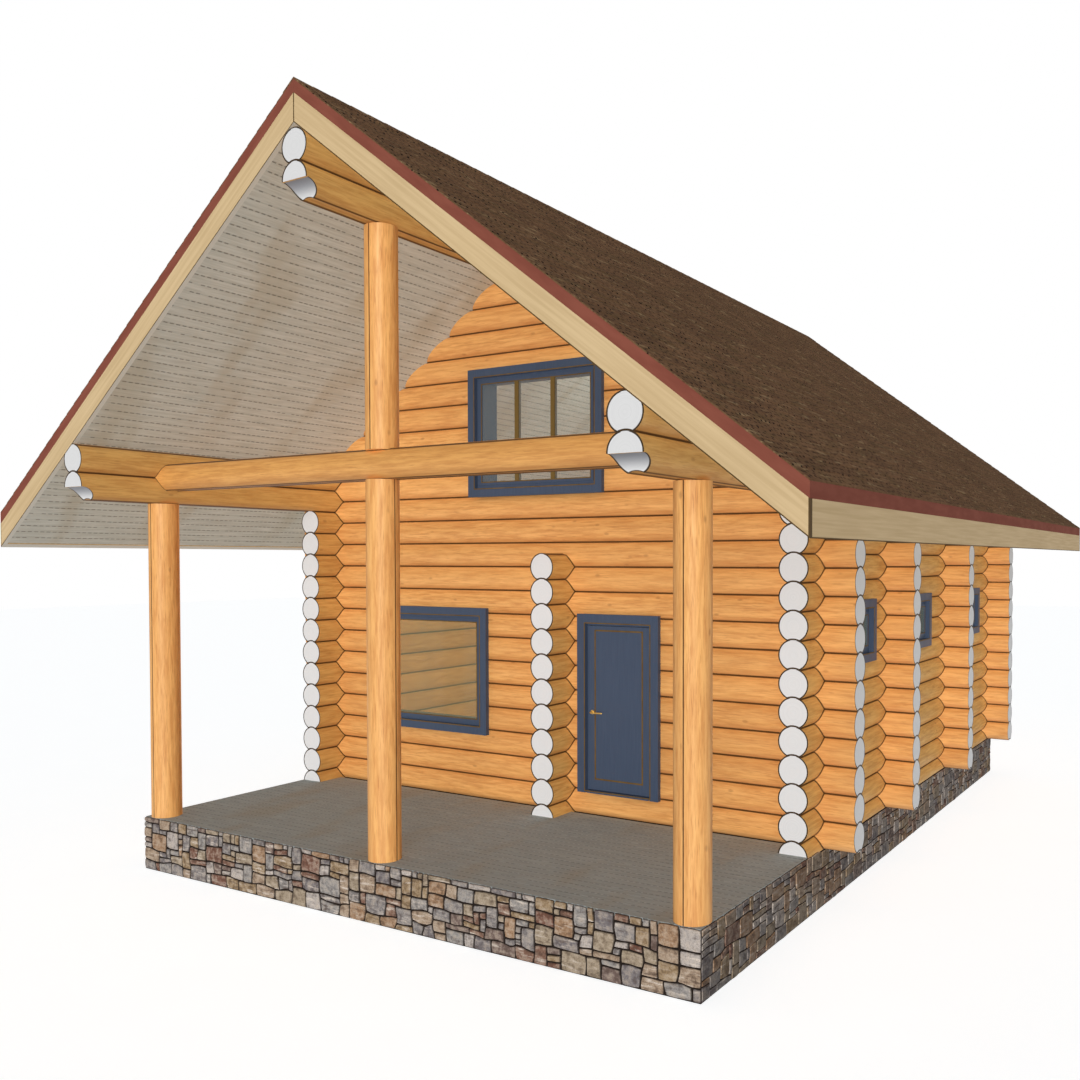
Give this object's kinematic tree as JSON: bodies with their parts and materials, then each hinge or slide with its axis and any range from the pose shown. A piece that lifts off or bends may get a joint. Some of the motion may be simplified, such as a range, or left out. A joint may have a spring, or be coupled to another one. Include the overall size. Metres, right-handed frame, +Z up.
{
  "type": "log bathhouse",
  "caption": "Small log bathhouse on a stone plinth, with a steep gable roof over a deep porch on log posts, gable and side windows and an entrance door that opens.",
  "frame": {"origin": "on the ground under the middle of the roof's plan", "axes": "+X to the right along the porch front, +Y from the porch to the back gable, +Z up"},
  "size_m": [8.45, 10.535, 6.7767],
  "materials": {
    "round_log": "oiled round pine logs",
    "fieldstone": "rubble stone in dark joints",
    "deck_board": "grey stained deck boards",
    "floor_board": "planed floor boards",
    "sawn_timber": "sawn timber",
    "soffit_board": "grey-beige boards",
    "shingle": "mottled dark brown bitumen shingles",
    "cream_board": "cream painted boards",
    "red_trim": "red-brown painted boards",
    "blue_joinery": "slate blue painted timber",
    "window_glass": "clear window glass",
    "brass": "polished brass"
  },
  "bodies": {
    "house": {"plinth_front": "fieldstone", "plinth_left": "fieldstone", "plinth_right": "fieldstone", "plinth_back": "fieldstone", "plinth_strips": "fieldstone", "porch_deck": "deck_board", "ground_floor": "floor_board", "left_wall": "round_log", "right_wall": "round_log", "front_sill_log": "round_log", "front_wall_left": "round_log", "front_wall_right": "round_log", "front_wall_over_door": "round_log", "front_gable": "round_log", "back_wall": "round_log", "back_gable": "round_log", "long_partition": "round_log", "front_partition": "round_log", "back_partition": "round_log", "side_purlins": "round_log", "ridge_purlins": "round_log", "tie_beam": "round_log", "king_post": "round_log", "left_post": "round_log", "middle_post": "round_log", "right_post": "round_log", "rafters": "sawn_timber", "soffit_left": "soffit_board", "soffit_right": "soffit_board", "roof_deck_left": "sawn_timber", "roof_deck_right": "sawn_timber", "shingles_left": "shingle", "shingles_right": "shingle", "rake_boards": "cream_board", "eave_boards": "cream_board", "roof_edge_trim": "red_trim", "door_frame": "blue_joinery", "window_frames": "blue_joinery", "window_sashes": "blue_joinery", "window_glass": "window_glass", "attic_joists": "sawn_timber", "attic_floor": "floor_board", "inner_door_linings": "floor_board"},
    "door": {"door_leaf": "blue_joinery"},
    "lever": {"door_lever": "brass"}
  },
  "joints": [
    {"name": "door_hinge", "type": "hinge", "parent": "house", "child": "door", "pos_m": [1.377, -2.2605, 1.6012], "axis": [0, 0, 1], "range_deg": [0, 110]},
    {"name": "lever_turn", "type": "hinge", "parent": "door", "child": "lever", "pos_m": [0.719, -2.2225, 1.559], "axis": [0, 1, 0], "range_deg": [0, 40], "stiffness_Nm_per_rad": 1.5, "springref_deg": -57.3}
  ]
}
